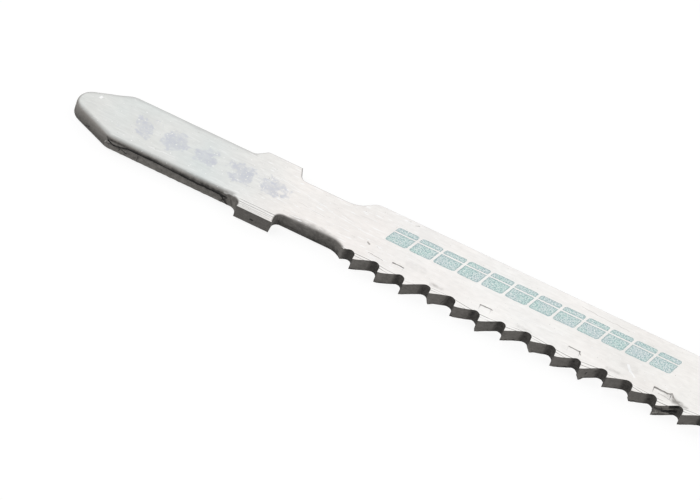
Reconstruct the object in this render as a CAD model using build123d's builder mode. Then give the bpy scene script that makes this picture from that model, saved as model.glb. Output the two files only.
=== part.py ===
# Jigsaw blade with a lugged T shank: one strip of steel, punched to its outline,
# with ground teeth whose edge is pressed into a wave so that the cut clears the body.
#
# Frame: the blade lies flat. +X runs from the shank to the free end, +Y from the
# teeth to the spine, +Z through the thickness. The origin is on the underside,
# on the shank's centre line, level with the shoulders of the lugs.
import os
from math import cos, pi, radians, sin, tan

from build123d import *

# Strip
LENGTH = 100.0            # shank tip to free end
THICKNESS = 1.3
SPINE_Y = 4.0             # straight back edge
TIP_Y = -3.95             # line of the tooth tips
TRIM = 1.0                # spare strip round the outline before it is punched

# Shank: nose, tang, two lugs and the neck behind them
SHANK_LENGTH = 20.3       # shank tip to the lugs' shoulders
TANG_WIDTH = 6.3
NOSE_RADIUS = 1.65
NOSE_TAPER = 26.5         # degrees between the nose's flats and the centre line
TANG_CORNER_RADIUS = 1.3
LUG_SPAN = 8.2            # across both lugs
LUG_LENGTH = 3.33
LUG_ROOT_RADIUS = 0.65
LUG_SIDE_DRAFT = 0.15     # the tooth-side lug widens towards the tang by this
LUG_RAMP = 0.97           # 45 degree run on the spine-side lug
LUG_RAKE = 0.42           # the spine-side shoulder leans forward by this at its root
NECK_WIDTH = 5.26
NECK_END_X = 5.88         # where the neck's edges turn out to the full width
NECK_RAMP = 42.0          # degrees
NECK_RADIUS = 2.6
SPINE_RADIUS = 1.2
DIE_ROLL = 0.16           # soft upper edge that the punch leaves round the shank

# Pressed edges of the tang: rounded over, with a crevice under the rounding
PRESS_START_X = -16.2
PRESS_LENGTH = 11.65
PRESS_RADIUS = 0.36       # tooth side
PRESS_RADIUS_BACK = 0.2   # spine side
CREVICE_HEIGHT = 0.10
CREVICE_DEPTH = 0.12

# Free end
END_FACE_Y = -1.6         # the square end stops here and slants back to the spine
END_SLANT_RUN = 4.4
END_RADIUS = 1.4

# Teeth: hooked back towards the shank, with a nearly square front face
TEETH = 30
PITCH = 2.4
FIRST_TIP_X = 7.64
FLANK_ANGLE = 29.0        # degrees
GULLET_RADIUS = 0.45

# Wavy set
WAVE_TEETH = 3.5          # teeth in one full wave
WAVE_CREST_X = 15.6       # first crest, where the tooth edge stands highest
UNSET_AT_START = 2        # quarter waves left flat before the first crest
UNSET_AT_END = 4          # and up to the free end
SET_AT_TIPS = 0.27        # sideways travel of the tooth tips
SET_AT_ROOTS = 0.17       # and of the gullets' roots
BEND_Y = -2.15            # the strip is flat above this line
ROOT_Y = -3.0
EDGE_Y = TIP_Y - 0.6      # the bent edge before the gullets are cut

shank_tip_x = -SHANK_LENGTH
free_end_x = LENGTH - SHANK_LENGTH
wave_length = WAVE_TEETH * PITCH
tooth_height = PITCH * tan(radians(FLANK_ANGLE))


def bent_line(base_z, wave):
    """Line of one face across the tooth edge, easing out of the flat into the set."""
    root_lift = SET_AT_ROOTS * wave
    tip_lift = SET_AT_TIPS * wave
    edge_slope = (tip_lift - root_lift) / (ROOT_Y - TIP_Y)
    edge_lift = tip_lift + edge_slope * (TIP_Y - EDGE_Y)
    return Spline(
        (BEND_Y, base_z),
        (ROOT_Y, base_z + root_lift),
        (TIP_Y, base_z + tip_lift),
        (EDGE_Y, base_z + edge_lift),
        tangents=((-1, 0), (-1, edge_slope)),
    )


def edge_section(at_x, wave):
    """Cross-section of the set tooth edge at one station, up to the line where it bends."""
    with BuildSketch(Plane.YZ.offset(at_x)) as section:
        with BuildLine():
            upper = bent_line(THICKNESS, wave)
            lower = bent_line(0, wave)
            Line(upper @ 0, lower @ 0)
            Line(upper @ 1, lower @ 1)
        make_face()
    return section.sketch


def corner(sketch, x, y, radius):
    """Round the corner of a sketch that lies nearest to a point."""
    fillet(sketch.vertices().sort_by_distance((x, y, 0))[0], radius=radius)


def gullet_cutter():
    """What the grinding wheel takes out between two tips: flank, round root, square face."""
    with BuildSketch(Plane.XY) as cutter:
        with BuildLine():
            Polyline(
                (0, 0),
                (PITCH, tooth_height),
                (PITCH, -TRIM),
                (0, -TRIM),
                close=True,
            )
        make_face()
        corner(cutter, PITCH, tooth_height, GULLET_RADIUS)
    return cutter.sketch


def press_profile(radius):
    """What the press takes off one tang edge, drawn for the side where Y is positive."""
    edge = TANG_WIDTH / 2
    round_base = THICKNESS - radius
    outside = edge + DIE_ROLL
    above = THICKNESS + DIE_ROLL
    with BuildSketch(Plane.YZ.offset(PRESS_START_X)) as profile:
        with BuildLine():
            Polyline(
                (edge - radius, THICKNESS),
                (edge - radius, above),
                (outside, above),
                (outside, round_base - CREVICE_HEIGHT),
                (edge, round_base - CREVICE_HEIGHT),
                (edge - CREVICE_DEPTH, round_base - CREVICE_HEIGHT / 2),
                (edge, round_base),
            )
            RadiusArc((edge, round_base), (edge - radius, THICKNESS), -radius)
        make_face()
    return profile.sketch


with BuildPart() as blade:
    # Flat of the strip: full width under the shank, and down to the bend along the teeth
    flat_end_x = WAVE_CREST_X - wave_length
    with BuildSketch():
        with BuildLine():
            Polyline(
                (shank_tip_x - TRIM, EDGE_Y),
                (flat_end_x, EDGE_Y),
                (flat_end_x, BEND_Y),
                (free_end_x + TRIM, BEND_Y),
                (free_end_x + TRIM, SPINE_Y + TRIM),
                (shank_tip_x - TRIM, SPINE_Y + TRIM),
                close=True,
            )
        make_face()
    extrude(amount=THICKNESS)

    # Set edge below the bend: stations a quarter wave apart, with the teeth unset at both ends
    quarter = wave_length / 4
    stations = int((free_end_x - flat_end_x) / quarter) + 2
    last_set = stations - 1 - UNSET_AT_END
    sections = []
    for i in range(stations):
        wave = cos(i * pi / 2) if UNSET_AT_START <= i <= last_set else 0
        sections.append(edge_section(flat_end_x + i * quarter, wave))
    loft(sections)

    # Outline that the punch leaves
    nose_apex_x = shank_tip_x + NOSE_RADIUS - NOSE_RADIUS / sin(radians(NOSE_TAPER))
    tang_half = TANG_WIDTH / 2
    tang_corner_x = nose_apex_x + tang_half / tan(radians(NOSE_TAPER))
    neck_half = NECK_WIDTH / 2
    lug_half = LUG_SPAN / 2
    lug_x = -LUG_LENGTH
    ramp_slope = tan(radians(NECK_RAMP))
    spine_start_x = NECK_END_X + (SPINE_Y - neck_half) / ramp_slope
    tooth_start_x = NECK_END_X + (-TIP_Y - neck_half) / ramp_slope
    with BuildSketch() as outline:
        with BuildLine():
            Polyline(
                (nose_apex_x, 0),
                (tang_corner_x, -tang_half),
                (lug_x - LUG_SIDE_DRAFT, -tang_half),
                (lug_x, -lug_half),
                (0, -lug_half),
                (0, -neck_half),
                (NECK_END_X, -neck_half),
                (tooth_start_x, TIP_Y),
                (free_end_x, TIP_Y),
                (free_end_x, END_FACE_Y),
                (free_end_x - END_SLANT_RUN, SPINE_Y),
                (spine_start_x, SPINE_Y),
                (NECK_END_X, neck_half),
                (LUG_RAKE, neck_half),
                (0, lug_half),
                (lug_x, lug_half),
                (lug_x - LUG_RAMP, tang_half),
                (tang_corner_x, tang_half),
                close=True,
            )
        make_face()
        corner(outline, nose_apex_x, 0, NOSE_RADIUS)
        corner(outline, tang_corner_x, -tang_half, TANG_CORNER_RADIUS)
        corner(outline, tang_corner_x, tang_half, TANG_CORNER_RADIUS)
        corner(outline, lug_x, -tang_half, LUG_ROOT_RADIUS)
        corner(outline, 0, -neck_half, LUG_ROOT_RADIUS)
        corner(outline, LUG_RAKE, neck_half, LUG_ROOT_RADIUS)
        corner(outline, lug_x - LUG_RAMP, tang_half, LUG_ROOT_RADIUS)
        corner(outline, lug_x, lug_half, LUG_ROOT_RADIUS / 2)
        corner(outline, NECK_END_X, -neck_half, NECK_RADIUS)
        corner(outline, NECK_END_X, neck_half, NECK_RADIUS)
        corner(outline, spine_start_x, SPINE_Y, SPINE_RADIUS)
        corner(outline, free_end_x - END_SLANT_RUN, SPINE_Y, END_RADIUS)
        corner(outline, free_end_x, END_FACE_Y, END_RADIUS)
        # A gullet is ground out in front of each tooth; the first one trims the neck's ramp,
        # and the last tooth is left as a square land at the end
        gullet_starts = [(FIRST_TIP_X + (k - 1) * PITCH, TIP_Y) for k in range(TEETH)]
        with Locations(*gullet_starts):
            add(gullet_cutter(), mode=Mode.SUBTRACT)
    extrude(amount=2 * THICKNESS, both=True, mode=Mode.INTERSECT)

    # Soft upper edge that the punch leaves round the shank, but not on the tooth-side lug
    upper_face = blade.faces().filter_by(Plane.XY).sort_by(Axis.Z)[-1]
    rim = upper_face.outer_wire().edges()
    shank_rim = rim.filter_by_position(Axis.X, shank_tip_x, NECK_END_X, inclusive=(False, True))
    lug_edge = shank_rim.sort_by(Axis.Y)[0]
    fillet(shank_rim - [lug_edge], radius=DIE_ROLL)

    # Pressed edges of the tang
    extrude(press_profile(PRESS_RADIUS_BACK), amount=PRESS_LENGTH, mode=Mode.SUBTRACT)
    front_profile = mirror(press_profile(PRESS_RADIUS), about=Plane.XZ, mode=Mode.PRIVATE)
    extrude(front_profile, amount=PRESS_LENGTH, mode=Mode.SUBTRACT)

blade.part.label = "blade"
os.makedirs("parts", exist_ok=True)
export_step(blade.part, "parts/blade.step")
print("solids", len(blade.part.solids()), "volume mm3", round(blade.part.volume, 2))
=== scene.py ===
# %% [markdown]
# # A jigsaw blade
#
# The blade is one strip of steel. As it is read here, a punch cuts its outline, a press rounds the
# tang, a wheel grinds the gullets and a last tool bends the toothed edge into a wave. The packed
# model has all of that as plain solid geometry. This notebook keeps its frame and size, and gives
# it the finish that the eye expects: satin faces, dark walls, dents, worn ink and tool marks.

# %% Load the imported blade
import math

import bmesh
import bpy
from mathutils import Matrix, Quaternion, Vector, noise


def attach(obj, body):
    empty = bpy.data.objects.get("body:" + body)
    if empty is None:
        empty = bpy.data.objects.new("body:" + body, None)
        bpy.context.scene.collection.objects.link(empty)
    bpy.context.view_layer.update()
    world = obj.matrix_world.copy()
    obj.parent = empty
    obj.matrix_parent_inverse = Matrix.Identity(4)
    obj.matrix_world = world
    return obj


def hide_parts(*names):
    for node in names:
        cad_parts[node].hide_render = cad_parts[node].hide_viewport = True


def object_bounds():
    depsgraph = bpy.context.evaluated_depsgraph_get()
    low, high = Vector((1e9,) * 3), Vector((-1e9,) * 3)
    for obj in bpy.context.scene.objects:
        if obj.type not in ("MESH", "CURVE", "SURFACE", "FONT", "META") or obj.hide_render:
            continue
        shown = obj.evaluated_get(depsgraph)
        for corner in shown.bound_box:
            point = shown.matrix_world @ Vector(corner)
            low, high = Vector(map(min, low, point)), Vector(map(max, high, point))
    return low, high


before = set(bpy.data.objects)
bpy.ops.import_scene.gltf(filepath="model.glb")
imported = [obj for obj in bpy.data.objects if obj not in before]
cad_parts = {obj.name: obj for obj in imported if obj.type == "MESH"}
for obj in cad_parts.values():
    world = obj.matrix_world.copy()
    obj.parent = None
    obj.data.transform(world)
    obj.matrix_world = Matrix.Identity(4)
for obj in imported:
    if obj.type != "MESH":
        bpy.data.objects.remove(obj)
cad_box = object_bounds()
MM = 0.001
print("packed blade, mm:", [round((high - low) / MM, 2) for low, high in zip(*cad_box)])

# %% [markdown]
# ## Camera
#
# The photograph is taken with a long lens from the tooth side, about 42 degrees above the ground,
# and the camera is tilted so that the blade runs downhill across the picture. A camera can be aimed
# by eye, but here its distance, angles and tilt come from fitting points of the blade to the
# picture, with the span over the lugs held at its standard size, so that the teeth fall in place.

# %% Camera
AIM = Vector((7.0535, -2.3059, 0.65)) * MM
DISTANCE = 242.58 * MM
AZIMUTH = math.radians(-85.98)
ELEVATION = math.radians(42.44)
ROLL = math.radians(22.684)
LENS = 144.0

from_aim = Vector((
    math.cos(ELEVATION) * math.cos(AZIMUTH),
    math.cos(ELEVATION) * math.sin(AZIMUTH),
    math.sin(ELEVATION),
))
camera = bpy.data.objects.new("camera", bpy.data.cameras.new("camera"))
camera.data.lens = LENS
camera.data.sensor_width = 36.0
camera.data.clip_start = 0.01
camera.data.clip_end = 10.0
camera.location = AIM + from_aim * DISTANCE
camera.rotation_mode = "QUATERNION"
camera.rotation_quaternion = (-from_aim).to_track_quat("-Z", "Y") @ Quaternion((0, 0, 1), ROLL)
bpy.context.scene.collection.objects.link(camera)
bpy.context.scene.camera = camera
print("camera at, mm:", [round(c / MM, 1) for c in camera.location])

# %% [markdown]
# ## Outline
#
# Everything about a punched blade follows from its outline. It could be drawn as one long list of
# points, but a toolmaker gives corners and radii, so this does too. Each rounded corner starts as one
# vertex at the first tangent point, and a spin sweeps it round the corner's centre.
# All values are in millimetres until the finished mesh is scaled to metres.

# %% Driving sizes, in millimetres
THICKNESS = 1.3
SHANK_TIP_X = -20.3
FREE_END_X = 79.7
SPINE_Y = 4.0
TIP_Y = -3.95
TANG_HALF = 3.15
TANG_RADIUS = 1.3
LUG_HALF = 4.1
LUG_DRAFT = 0.15
LUG_RAKE = 0.42
LUG_RAMP = 0.97
ROOT_RADIUS = 0.65
NECK_HALF = 2.63
NECK_END_X = 5.88
NECK_SLOPE = math.tan(math.radians(42.0))
NECK_RADIUS = 2.6
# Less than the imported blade's 2.6, or the rim's rings would fold over each other
NECK_RADIUS_AT_TEETH = 1.6
NOSE_RADIUS = 1.65
NOSE_TAPER = math.radians(26.5)
LUG_X = -3.33
END_FACE_Y = -1.6
END_SLANT_X = FREE_END_X - 4.4
END_RADIUS = 1.4
SPINE_RADIUS = 1.2

TEETH = 30
PITCH = 2.4
FIRST_TIP_X = 7.64
FLANK_SLOPE = math.tan(math.radians(29.0))
GULLET_RADIUS = 0.45

nose_apex_x = SHANK_TIP_X + NOSE_RADIUS * (1 - 1 / math.sin(NOSE_TAPER))
tang_corner_x = nose_apex_x + TANG_HALF / math.tan(NOSE_TAPER)
last_tip_x = FIRST_TIP_X + (TEETH - 1) * PITCH
print("tang starts at", round(tang_corner_x, 2), "and the last tip is at", round(last_tip_x, 2))


# %% Corners in order, counter-clockwise from the nose: x, y and radius
def tooth_corners():
    """Where the neck's ramp meets the first flank, then a round root and a sharp tip for each tooth."""
    flank_start_x = FIRST_TIP_X - PITCH
    ramp_level = NECK_SLOPE * NECK_END_X - NECK_HALF
    flank_level = TIP_Y - FLANK_SLOPE * flank_start_x
    meet_x = (ramp_level - flank_level) / (NECK_SLOPE + FLANK_SLOPE)
    corners = [(meet_x, ramp_level - NECK_SLOPE * meet_x, 0)]
    root_y = TIP_Y + PITCH * FLANK_SLOPE
    for tooth in range(TEETH):
        tip_x = FIRST_TIP_X + tooth * PITCH
        corners += [(tip_x, root_y, GULLET_RADIUS), (tip_x, TIP_Y, 0)]
    return corners


spine_start_x = NECK_END_X + (SPINE_Y - NECK_HALF) / NECK_SLOPE
CORNERS = [
    (nose_apex_x, 0, NOSE_RADIUS),
    (tang_corner_x, -TANG_HALF, TANG_RADIUS),
    (LUG_X - LUG_DRAFT, -TANG_HALF, ROOT_RADIUS),
    (LUG_X, -LUG_HALF, 0),
    (0, -LUG_HALF, 0),
    (0, -NECK_HALF, ROOT_RADIUS),
    (NECK_END_X, -NECK_HALF, NECK_RADIUS_AT_TEETH),
    *tooth_corners(),
    (FREE_END_X, TIP_Y, 0),
    (FREE_END_X, END_FACE_Y, END_RADIUS),
    (END_SLANT_X, SPINE_Y, END_RADIUS),
    (spine_start_x, SPINE_Y, SPINE_RADIUS),
    (NECK_END_X, NECK_HALF, NECK_RADIUS),
    (LUG_RAKE, NECK_HALF, ROOT_RADIUS),
    (0, LUG_HALF, 0),
    (LUG_X, LUG_HALF, ROOT_RADIUS / 2),
    (LUG_X - LUG_RAMP, TANG_HALF, ROOT_RADIUS),
    (tang_corner_x, TANG_HALF, TANG_RADIUS),
]
print(len(CORNERS), "corners in the outline")

# %% Sweep the corners and fill the outline
ARC_STEP = math.radians(11)


def sweep_corner(bm, before, here, after, radius):
    """First and last vertex of one corner of the outline."""
    into, out = (here - before).normalized(), (after - here).normalized()
    turn = math.atan2(into.cross(out), into.dot(out))
    start = here - into * radius * math.tan(abs(turn) / 2)
    first = bm.verts.new(start.to_3d())
    if not radius:
        return first, first
    side = math.copysign(1, turn)
    centre = start + Vector((-into.y, into.x)) * radius * side
    swept = bmesh.ops.spin(
        bm, geom=[first], cent=centre.to_3d(), axis=(0, 0, 1),
        angle=turn, steps=max(3, round(abs(turn) / ARC_STEP)),
    )
    return first, swept["geom_last"][0]


def outline_face(bm, corners):
    """The whole outline as one flat face."""
    points = [Vector(corner[:2]) for corner in corners]
    ends = [
        sweep_corner(bm, points[i - 1], points[i], points[(i + 1) % len(points)], corners[i][2])
        for i in range(len(points))
    ]
    for i in range(len(ends)):
        bm.edges.new((ends[i - 1][1], ends[i][0]))
    face = bmesh.ops.contextual_create(bm, geom=bm.edges[:])["faces"][0]
    face.normal_update()
    if face.normal.z > 0:
        face.normal_flip()
    return face


bm = bmesh.new()
bottom = outline_face(bm, CORNERS)
print("outline:", len(bm.verts), "points,", round(bottom.calc_area(), 1), "square mm")

# %% [markdown]
# ## From outline to strip
#
# Extruding the outline gives the strip. A punched edge is never sharp on the side that the punch
# enters, and both edges of the tang are rounded further. A Bevel modifier could round the rim, but
# each change of width would need its own weights, so the rim gets rings of inset faces instead.
# Each ring remembers how far it is from the edge, and later each one sinks along a quarter circle
# whose radius can change from place to place.

# %% Extrude the strip and inset its rims
UPPER_RINGS = [0.02, 0.06, 0.12, 0.2, 0.31]
LOWER_RINGS = [0.03, 0.1]

from_edge = bm.verts.layers.float.new("from_edge")
walls = bmesh.ops.extrude_face_region(bm, geom=[bottom])["geom"]
bmesh.ops.translate(
    bm, vec=(0, 0, THICKNESS), verts=[v for v in walls if isinstance(v, bmesh.types.BMVert)]
)
top = next(f for f in walls if isinstance(f, bmesh.types.BMFace))


def inset_rings(face, distances):
    """Nested insets of one face; each new ring stores its distance from the outline."""
    reached = 0.0
    for distance in distances:
        bmesh.ops.inset_region(
            bm, faces=[face], thickness=distance - reached, use_even_offset=True, use_boundary=True
        )
        for vert in face.verts:
            vert[from_edge] = distance
        reached = distance


inset_rings(top, UPPER_RINGS)
inset_rings(bottom, LOWER_RINGS)
print("strip with rims:", len(bm.faces), "faces")

# %% [markdown]
# ## Stations
#
# The strip has to bend along its teeth and to carry dents along its walls, so it needs points to
# move. Subdividing everything would spend most of them on the flat middle. Cutting with planes puts
# them where the form changes: close across the pressed tang, a fraction of a pitch along the teeth,
# and in level rows round the walls.

# %% Cut the strip with planes
BEND_Y = -2.15
PRESS_FROM_X = -16.2
PRESS_TO_X = -4.55


def cut(point, normal):
    """Cuts everything along one plane."""
    bmesh.ops.bisect_plane(
        bm, geom=bm.verts[:] + bm.edges[:] + bm.faces[:], dist=1e-4, plane_co=point, plane_no=normal
    )


def steps(start, stop, size):
    """Values from start up to stop, one size apart."""
    return [start + i * size for i in range(int((stop - start) / size) + 1)]


tooth_station = PITCH / 12
stations = (
    steps(SHANK_TIP_X + 0.3, PRESS_FROM_X - 0.3, 0.3)
    + steps(PRESS_FROM_X - 0.1, PRESS_TO_X + 0.9, 0.11)
    + steps(PRESS_TO_X + 1.05, NECK_END_X, 0.15)
    + steps(FIRST_TIP_X - 7.5 * tooth_station, FREE_END_X, tooth_station)
)
for x in stations:
    cut((x, 0, 0), (1, 0, 0))
for y in steps(TIP_Y + 0.13, BEND_Y, 0.21) + [-1.85] + steps(-1.0, 3.0, 1.0):
    cut((0, y, 0), (0, 1, 0))
WALL_ROWS = [0.03, 0.09, 0.17, 0.27, 0.38, 0.48, 0.57, 0.65, 0.72, 0.78, 0.83, 0.87, 0.9, 0.93, 0.96, 0.98]
for share in WALL_ROWS:
    cut((0, 0, share * THICKNESS), (0, 0, 1))
print("after", len(stations), "stations:", len(bm.faces), "faces")

# %% [markdown]
# ## Clamp marks
#
# Over every dip of the wave there is a small three-sided imprint, most likely from the tool that
# sets the teeth. It could be a bump in the finish, but it catches the light from every side, so a
# few local cuts make room for a real groove. No two are alike: each has its own weight and legs.

# %% Find the points of the clamp marks
WAVE_LENGTH = 3.5 * PITCH
WAVE_CREST_X = 15.6
MARK_Y = -2.12
MARK_LEG = 0.55
GROOVE_HALF = 0.055
GROOVE_DEPTH = 0.04

# Dark marks: grime in grooves, gouges and burrs, and painted shade in the crevice.
grime_and_crevice_shade = bm.verts.layers.float.new("grime_and_crevice_shade")
groove = bm.verts.layers.float.new("groove")


def cut_near(box, point, normal):
    """Cuts only the upper faces whose middle lies in a box of x and y."""
    low_x, high_x, low_y, high_y = box
    faces = []
    for face in bm.faces:
        middle = face.calc_center_median()
        if middle.z > THICKNESS - 1e-4 and low_x < middle.x < high_x and low_y < middle.y < high_y:
            faces.append(face)
    edges = {e for f in faces for e in f.edges}
    verts = {v for f in faces for v in f.verts}
    bmesh.ops.bisect_plane(
        bm, geom=[*verts, *edges, *faces], dist=1e-4, plane_co=point, plane_no=normal
    )


def clamp_mark(middle_x, half_length, bar, left_leg, right_leg):
    """Cuts and marks one imprint: a bar above and two legs that point at the teeth."""
    box = (middle_x - half_length - 0.3, middle_x + half_length + 0.3, MARK_Y - MARK_LEG - 0.2, MARK_Y + 0.2)
    for offset in (-GROOVE_HALF, 0, GROOVE_HALF):
        cut_near(box, (0, MARK_Y + offset, 0), (0, 1, 0))
        for side in (-1, 1):
            cut_near(box, (middle_x + side * half_length + offset, 0, 0), (1, 0, 0))
    for vert in bm.verts:
        x, y, z = vert.co
        if z < THICKNESS - 1e-4 or not (box[0] < x < box[1] and box[2] < y < box[3]):
            continue
        down_leg = (MARK_Y - y) / MARK_LEG
        weight = 0.0
        if abs(y - MARK_Y) < 1e-3 and abs(x - middle_x) <= half_length + 1e-3:
            weight = bar * (0.75 + 0.25 * math.sin(7 * x))
        elif abs(abs(x - middle_x) - half_length) < 1e-3 and 0 < down_leg < 1:
            weight = (left_leg if x < middle_x else right_leg) * (1 - 0.8 * down_leg)
        vert[groove] = max(vert[groove], weight)
        vert[grime_and_crevice_shade] = max(vert[grime_and_crevice_shade], min(0.9, weight))


# Half length, weight of the bar, and of the left and right leg; the last four are out of view
CLAMP_MARKS = [
    (0.52, 1.1, 0.1, 0.3), (0.52, 1.3, 0.8, 0.5), (0.55, 1.2, 0.2, 1.1), (0.8, 1.6, 1.1, 1.3),
    (0.55, 1.1, 0.4, 0.7), (0.5, 0.9, 0.5, 0.2), (0.6, 1.3, 0.3, 0.9), (0.52, 1.0, 0.7, 0.4),
]
for i, mark in enumerate(CLAMP_MARKS):
    clamp_mark(WAVE_CREST_X + (i - 0.5) * WAVE_LENGTH, *mark)
print(len(CLAMP_MARKS), "clamp marks, one over every dip of the wave")

# %% [markdown]
# ## Shape the surface
#
# Now every vertex is moved by plain functions of its place. The rim sinks along its quarter circle,
# the walls get their crevice, gouges and roughness, and the tooth edge rises and falls with the wave.
# A simulation would be slower and would need forces that a picture doesn't tell, so each move just
# follows what one tool does to the steel.

# %% How each tool moves the steel
DIE_ROLL = 0.15
WORN_ROLL = 0.12
PRESS_RADIUS = 0.38
PRESS_RADIUS_BACK = 0.2
BURR = 0.02
SET_AT_TIPS = 0.27
SET_AT_ROOTS = 0.17
ROOT_Y = -3.0
TOOTH_EDGE_X = 6.3
# Where the set comes in along the blade, and where it fades out
SET_COMES_IN = (8.0, 10.6)
SET_FADES_OUT = (71.6, 73.4)


def smooth(low, high, value):
    """0 below low, 1 above high, and a smooth step between them."""
    t = min(1, max(0, (value - low) / (high - low)))
    return t * t * (3 - 2 * t)


def rough(x, y, z, size, seed=0.0):
    """Smooth noise from -1 to 1 whose bumps are about size millimetres."""
    return noise.noise(Vector((x / size + seed, y / size, z / size - seed)))


def pressed(x):
    """1 along the pressed stretch of the tang, 0 past its ends."""
    begun = smooth(PRESS_FROM_X - 0.12, PRESS_FROM_X + 0.12, x)
    return begun * (1 - smooth(PRESS_TO_X - 0.1, PRESS_TO_X + 0.1, x))


def rim_radius(x, y):
    """Radius of the upper rim at one place of the outline."""
    if x > TOOTH_EDGE_X + 0.2:
        return 0.06 if y > 0 else BURR
    on_lug = LUG_X - 0.1 < x < 0.02 and y < -LUG_HALF + 0.1
    worn = 1 - smooth(-17.4, -16.2, x) if x < 0 or y > 0 else smooth(0.8, 2.5, x)
    base = BURR if on_lug else DIE_ROLL + WORN_ROLL * worn + BURR
    press = PRESS_RADIUS - 0.1 * (1 - smooth(-12.0, -9.0, x)) if y < 0 else PRESS_RADIUS_BACK
    return (base + (press - base) * pressed(x)) * (1 + 0.1 * rough(x, y, 0, 1.1))


def wall_level(x, y, height):
    """Level in millimetres of a point of the wall, whose height is a share from 0 to 1."""
    return BURR + height * (THICKNESS - rim_radius(x, y) - BURR)


def sink(radius, distance):
    """How far a quarter circle of that radius has dropped at a distance from the edge."""
    if distance >= radius:
        return 0.0
    return radius - math.sqrt(radius ** 2 - (radius - distance) ** 2)


def turned(radius, distance):
    """Degrees that the same quarter circle has turned away from level there."""
    return math.degrees(math.asin(min(1, max(0, 1 - distance / radius))))


def wave(x):
    """Share of the set at one place; the first and last teeth are unset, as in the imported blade."""
    shape = math.cos(2 * math.pi * (x - WAVE_CREST_X) / WAVE_LENGTH)
    return shape * smooth(*SET_COMES_IN, x) * (1 - smooth(*SET_FADES_OUT, x))


def lift(x, y):
    """Height that the setting tool gives the tooth edge."""
    if y >= BEND_Y:
        return 0.0
    down = (BEND_Y - y) / (BEND_Y - ROOT_Y)
    far = (BEND_Y - TIP_Y) / (BEND_Y - ROOT_Y)
    if down < 1:
        share = SET_AT_ROOTS * down * down * (1.75 - 0.75 * down)
    else:
        share = SET_AT_ROOTS + (SET_AT_TIPS - SET_AT_ROOTS) * (down - 1) / (far - 1)
    return share * wave(x)


print("set at a tip, mm:", round(lift(WAVE_CREST_X, TIP_Y), 3))

# %% [markdown]
# ## Walls
#
# The punched and ground walls carry the story of the blade: a crevice under the pressed rounding,
# blackened with painted shade, gouges where that ends, pits in the neck, ragged burrs under the
# teeth and one tooth that is scored, as if it had hit something hard. Each gouge is a line on the
# wall, given by where it starts and ends along the blade and up the wall, so its depth and its dirt
# both follow from the distance to it.

# %% Crevice and gouges of the walls
CREVICE_DEPTH = 0.13
CREVICE_LINE = [
    (-16.4, 1.0), (-16.0, 0.92), (-15.4, 0.64), (-14.8, 0.74), (-14.1, 0.96), (-12.0, 0.97),
    (-9.9, 0.93), (-8.5, 0.85), (-7.4, 0.81), (-6.0, 0.84), (-4.4, 0.8),
]
# From x and height to x and height, then half width, depth and dirt; height is a share of the wall
GOUGES = [
    (-18.45, 0.12, -18.0, 0.3, 0.07, 0.03, 0.9),
    (-16.0, 0.66, -15.5, 0.55, 0.16, -0.06, 0.0),
    (-15.25, 0.4, -14.6, 0.55, 0.12, -0.04, 0.0),
    (-14.6, 0.52, -14.15, 0.4, 0.1, 0.05, 0.8),
    (-13.9, 0.35, -13.5, 0.5, 0.1, -0.04, 0.0),
    (-13.4, 0.3, -13.25, 0.35, 0.08, 0.03, 0.5),
    (-12.98, 0.6, -12.93, 0.05, 0.05, 0.03, 0.6),
    (-5.05, 0.85, -4.35, 0.08, 0.1, 0.1, 1.0),
    (-4.5, 0.75, -4.95, 0.2, 0.08, 0.07, 1.0),
    (-4.1, 0.6, -3.9, 0.2, 0.1, 0.03, 0.5),
    (-1.74, 0.42, -1.66, 0.42, 0.08, 0.03, 0.9),
    (0.3, 0.5, 0.55, 0.2, 0.1, 0.03, 0.5),
    (1.7, 0.1, 2.0, 0.06, 0.08, 0.04, 0.9),
    (3.5, 0.12, 3.8, 0.05, 0.08, 0.04, 0.9),
    (2.7, 0.05, 2.85, 0.1, 0.06, 0.03, 0.8),
    (20.72, 0.87, 20.8, 0.9, 0.07, 0.03, 0.7),
    (30.6, 0.72, 30.68, 0.74, 0.09, 0.03, 0.8),
    (36.95, 0.62, 37.3, 0.5, 0.1, 0.06, 0.7),
    (37.3, 0.5, 37.8, 0.46, 0.13, 0.09, 1.0),
    (37.8, 0.46, 38.35, 0.42, 0.12, 0.1, 1.0),
    (37.1, 0.62, 37.4, 0.46, 0.07, 0.04, 0.9),
    (36.55, 0.78, 37.2, 0.7, 0.2, 0.04, 0.55),
    (37.7, 0.78, 38.3, 0.92, 0.14, 0.05, 0.6),
    (36.6, 0.2, 37.15, 0.18, 0.1, -0.03, 0.0),
]


def near_line(x, z, x1, z1, x2, z2):
    """Distance from a point of a wall to a straight line on it."""
    line = Vector((x2 - x1, z2 - z1))
    share = min(1, max(0, Vector((x - x1, z - z1)).dot(line) / line.length_squared))
    return (Vector((x - x1, z - z1)) - line * share).length


def crevice(x, level):
    """How deep in the crevice under the pressed rounding a point of the wall lies, 0 to 1."""
    middle = 0.8
    for (x1, level1), (x2, level2) in zip(CREVICE_LINE, CREVICE_LINE[1:]):
        if x1 <= x < x2:
            middle = level1 + (level2 - level1) * (x - x1) / (x2 - x1)
    middle += 0.03 * rough(x, 0, 0, 0.5, 4.0)
    half = 0.115 + 0.03 * rough(x, 0, 0, 1.1, 9.0)
    return max(0, 1 - abs(level - middle) / half) * pressed(x)


def ragged(x, y, height):
    """Burrs along the lower edge of the toothed walls, 0 to 1."""
    low = 1 - smooth(0.02, 0.2, height)
    return low * max(0, 0.15 + 2.0 * rough(x, y, 0, 0.24, 3.0))


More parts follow.
